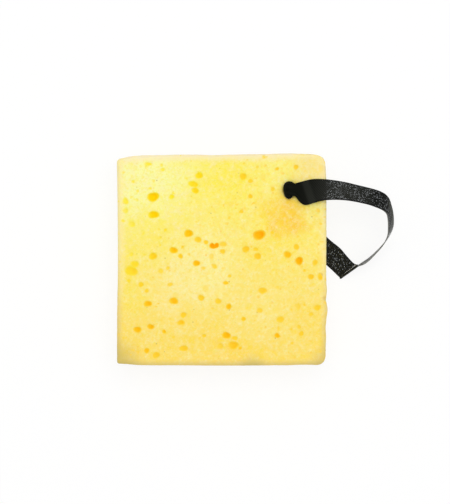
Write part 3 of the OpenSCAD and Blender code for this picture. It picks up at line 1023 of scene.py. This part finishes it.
# Painted shade along the near side and in its two corners, painted shade in a pore cut by the right
# rim, and a small darker spot on that rim
PAINTED_SHADE_AND_SPOTS = [
    (-49, -49, 17, 0.75, "#CDB868"), (14, -50, 9, 0.45, "#BDAE70"), (48, -48, 11, 0.5, "#CDB872"),
    (44.9, -7.0, 1.5, 0.45, "#B39058"), (47, -17.5, 1.8, 0.45, "#CFA04C"),
]
# The size of the wisps at a patch's edge, in millimetres
FRAY = 11.0
print("patches of dye", len(DYE), "and of painted_shade_and_spots", len(PAINTED_SHADE_AND_SPOTS))


def patches(material, where, body, listed):
    """The body colour with each listed patch laid over it."""
    for x, y, radius, strength, colour in listed:
        away = add_node(material, "ShaderNodeVectorMath", {
            0: where, 1: (x * MM, y * MM, BLOCK_H * MM)}, operation="DISTANCE").outputs["Value"]
        shown = faded(material, (away, radius * MM, 0.2 * radius * MM, strength))
        body = layered(material, body, (shown, colour))
    return body


def frayed(material, where):
    """Coordinates that wander by up to half of FRAY."""
    wander = add_node(material, "ShaderNodeTexNoise", {
        "Vector": where, "Scale": 1 / (FRAY * MM), "Detail": 3.0, "Roughness": 0.6})
    middle = add_node(material, "ShaderNodeVectorMath", {
        0: wander.outputs["Color"], 1: (0.5, 0.5, 0.5)}, operation="SUBTRACT")
    moved = add_node(material, "ShaderNodeVectorMath", {
        0: middle.outputs["Vector"], 1: (2 * FRAY * MM,) * 3, 2: where}, operation="MULTIPLY_ADD")
    return moved.outputs["Vector"]


# %% Grain and spots
# Blotches of noise, from coarse to fine: size in millimetres, seed, the noise where they
# start and where they are full, strength, colour
BLOTCHES = [
    (4.0, 0.5, 0.5, 0.72, 0.35, "#FEE9B2"), (1.9, 0.9, 0.42, 0.78, 0.4, "#FEF5C2"),
    (0.85, 0.2, 0.5, 0.7, 0.3, "#FEF3CE"), (0.95, 0.7, 0.5, 0.72, 0.36, "#F0E048"),
]
OLIVE = "#B7A04C"


def blotches(material, where, body, listed):
    """The body colour with blotches of noise over it, each shifted by its seed."""
    for size, seed, start, full, strength, colour in listed:
        shifted = add_node(material, "ShaderNodeMapping", {
            "Vector": where, "Location": (seed, -seed, seed)}).outputs["Vector"]
        blotch = add_node(material, "ShaderNodeTexNoise", {
            "Vector": shifted, "Scale": 1 / (size * MM), "Detail": 3.0, "Roughness": 0.65})
        shown = faded(material, (blotch.outputs["Fac"], start, full, strength))
        body = layered(material, body, (shown, colour))
    return body


def spots(material, where, body, cell, reach, rarity, strength, colour):
    """Round spots: one in each cell of that size, in millimetres, that chance picks."""
    cells = add_node(material, "ShaderNodeTexVoronoi", {"Vector": where, "Scale": 1 / (cell * MM)})
    chance = add_node(material, "ShaderNodeSeparateColor", {"Color": cells.outputs["Color"]})
    shown = faded(material, (cells.outputs["Distance"], reach / cell, 0.4 * reach / cell),
                  (chance.outputs["Red"], rarity, 1.0, strength))
    return layered(material, body, (shown, colour))


def speckled(material, where, warmth, body):
    """The foam's cells: blotches first, then freckles, small flecks and olive dots of painted shade in
    the open cells.
    """
    freckle = layered(material, rgb("#FCEC48"), (warmth, "#FEDC40"))
    fleck = layered(material, rgb("#F8E23C"), (warmth, "#FDCB3C"))
    body = blotches(material, where, body, [*BLOTCHES, (1.6, 0.3, 0.42, 0.74, 0.5, freckle)])
    body = spots(material, where, body, 6.5, 2.0, 0.3, 0.5, freckle)
    body = spots(material, where, body, 3.4, 0.7, 0.4, 0.6, fleck)
    # Olive dots: painted shade in the tiny open cells
    return spots(material, where, body, 4.1, 0.42, 0.4, 0.7, OLIVE)


# %% Sawn rims, with painted light and painted shade
# In metres: from painted shade to painted light towards the far side, the place on the
# right where the rim turns warmer, as its pinkish line of painted shade ends, and the left rim
SHADED_TO_LIT = (-0.04, 0.005)
WARMER = (0.03, 0.036)
LEFT_RIM = (-0.042, -0.046)


def rims(material, place, body):
    """Painted light, cream, on the far rims with a thin pinkish line of painted shade at the edge, and
    painted shade, a dull ochre, on the near rims.
    """
    away = add_node(material, "ShaderNodeAttribute", attribute_name="rim").outputs["Fac"]
    x, y = place.outputs["X"], place.outputs["Y"]
    clean, soiled = (y, *SHADED_TO_LIT), (y, *SHADED_TO_LIT[::-1])
    cream = layered(material, rgb("#FCE9C6"), (faded(material, (x, *LEFT_RIM)), "#FFEAA6"))
    return layered(
        material, body,
        # Painted light: cream on the rims towards the far side, weaker on the right one
        (faded(material, (away, 4.5, 0.2, 0.75), clean, (x, 0.037, 0.031, 1.0, 0.5)), cream),
        # A thin pinkish line of painted shade at the very edge of those rims
        (faded(material, (away, 1.3, 0.1, 0.4), clean, (x, *WARMER[::-1])), "#F6DEC2"),
        # Painted shade: dull ochre on the rims towards the near side
        (faded(material, (away, 3.4, 0.0, 0.7), soiled), "#DEC880"))


# %% Foam material
# The foam's cells in millimetres, drawn larger than real, and how deep light goes
BUMP_CELL = 0.8
LIGHT_DEPTH = 1.5


def foam_material():
    """Dye, speckle, painted light and shade on the rims, painted shade and darker spots, and over them
    the painted glow of the pores by their strength.
    """
    material, surface = new_material("yellow open-cell polyurethane foam")
    where = add_node(material, "ShaderNodeTexCoord").outputs["Object"]
    place = add_node(material, "ShaderNodeSeparateXYZ", {"Vector": where})
    half = BLOCK_L / 2 * MM
    lean = add_node(material, "ShaderNodeMath", {
        0: place.outputs["X"], 1: place.outputs["Y"]}, operation="SUBTRACT").outputs["Value"]
    warmth = faded(material, (lean, -0.055, -0.01))
    body = layered(material, rgb("#FEEF7E"), (
        faded(material, (place.outputs["Y"], half, -half)), "#FEDD6A"))
    body = patches(material, frayed(material, where), body, DYE)
    body = speckled(material, where, warmth, body)
    # Painted light and painted shade on the sawn rims
    body = rims(material, place, body)
    # Painted shade along the near side, and the darker spots
    body = patches(material, where, body, PAINTED_SHADE_AND_SPOTS)
    # The pores' painted glow of light, deeper in colour the stronger the pore
    pore = add_node(material, "ShaderNodeAttribute", attribute_name="pore").outputs["Fac"]
    faint = layered(material, rgb("#FEE738"), (warmth, "#FFD63C"))
    deep = layered(material, rgb("#FFD600"), (warmth, "#FFC30F"))
    deepest = layered(material, rgb("#FFC800"), (warmth, "#FFAE08"))
    body = layered(
        material, body,
        (faded(material, (pore, 0.0, 0.5)), faint),
        (faded(material, (pore, 0.45, 0.95)), deep),
        (faded(material, (pore, 0.92, 1.15)), deepest))
    cells = add_node(material, "ShaderNodeTexVoronoi", {"Vector": where, "Scale": 1 / (BUMP_CELL * MM)})
    bump = add_node(material, "ShaderNodeBump", {
        "Height": cells.outputs["Distance"], "Distance": 0.2 * MM, "Strength": 0.25})
    set_inputs(surface, {
        "Base Color": body, "Normal": bump.outputs["Normal"], "Roughness": 0.9,
        "Specular IOR Level": 0.15, "Subsurface Weight": 0.3,
        "Subsurface Radius": (1.0, 0.8, 0.35), "Subsurface Scale": LIGHT_DEPTH * MM})
    return material


foam.data.materials.clear()
foam.data.materials.append(foam_material())
print("foam material", len(foam.active_material.node_tree.nodes), "nodes")

# %% [markdown]
# ## Floor and light
# A sheet of white paper and an even studio light keep the colours true. A broad lamp
# hangs almost overhead, so that shadows stay close under what casts them. To the camera
# the paper is mostly its own plain white, with a little of its lit surface mixed in,
# which keeps the faint shadow under the slab. The light it throws on the sponge stays
# that of real paper. More light would whiten the paper as well, but it would burn out
# the foam's pale yellow with it.

# %% Paper
# The sheet's side in metres, and how much of its plain white the camera sees
FLOOR_SIZE = 6.0
PLAIN_WHITE = 0.85


def seen_directly(material):
    """1 for rays from the camera, also by way of gloss or glass."""
    rays = add_node(material, "ShaderNodeLightPath").outputs
    seen = add_node(material, "ShaderNodeMath", {
        0: rays["Is Camera Ray"], 1: rays["Is Glossy Ray"]}, operation="MAXIMUM")
    seen = add_node(material, "ShaderNodeMath", {
        0: seen.outputs["Value"], 1: rays["Is Transmission Ray"]}, operation="MAXIMUM")
    return seen.outputs["Value"]


def paper_material():
    """Matt paper, whose lit surface the camera sees only in part."""
    material, surface = new_material("white paper")
    set_inputs(surface, {"Base Color": "#FFFFFF", "Roughness": 0.95, "Specular IOR Level": 0.0})
    plain = add_node(material, "ShaderNodeEmission", {"Color": "#FFFFFF", "Strength": 1.0})
    share = add_node(material, "ShaderNodeMath", {
        0: seen_directly(material), 1: PLAIN_WHITE}, operation="MULTIPLY")
    both = add_node(material, "ShaderNodeMixShader", {
        0: share.outputs["Value"], 1: surface.outputs["BSDF"], 2: plain.outputs["Emission"]})
    set_inputs(material.node_tree.nodes["Material Output"], {"Surface": both.outputs["Shader"]})
    return material


bpy.ops.object.select_all(action="DESELECT")
bpy.ops.mesh.primitive_plane_add(size=FLOOR_SIZE, location=(0, 0, 0))
floor = bpy.context.object
floor.name = "floor"
floor.data.materials.append(paper_material())
floor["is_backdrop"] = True
print("paper", FLOOR_SIZE, "m square")

# %% Soft light from above
# The light from all round, and the broad lamp: watts, width and place in metres
WORLD_LEVEL = 0.62
KEY_WATTS = 7.5
KEY_WIDTH = 0.9
KEY_PLACE = (0.08, 0.2, 1.3)


def surroundings():
    """Even light from all round, and plain white to the camera."""
    world = bpy.data.worlds.new("studio")
    bpy.context.scene.world = world
    world.use_nodes = True
    level = add_node(world, "ShaderNodeMapRange", {
        "Value": seen_directly(world), "To Min": WORLD_LEVEL, "To Max": 1.0})
    set_inputs(world.node_tree.nodes["Background"], {
        "Color": "#FFFFFF", "Strength": level.outputs["Result"]})


def key_light():
    """A broad round lamp that points at the middle of the table."""
    lamp = bpy.data.lights.new("key", "AREA")
    lamp.shape = "DISK"
    lamp.size = KEY_WIDTH
    lamp.energy = KEY_WATTS
    key = new_object("key", lamp)
    key.location = KEY_PLACE
    key.rotation_euler = (-key.location).to_track_quat("-Z", "Y").to_euler()


surroundings()
key_light()
bpy.context.scene.view_settings.view_transform = "Standard"
print("lamp", KEY_WATTS, "W over the slab")

# %% [markdown]
# ## Finish
# The box of the finished model is compared with the solids' box, and the most that it stands past it is
# printed.

# %% Sizes
low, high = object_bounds()
past = max(max(cad_low[i] - low[i], high[i] - cad_high[i]) for i in range(3)) / MM
print("the finished sponge stands", round(past, 2), "mm past the solids' box at most")
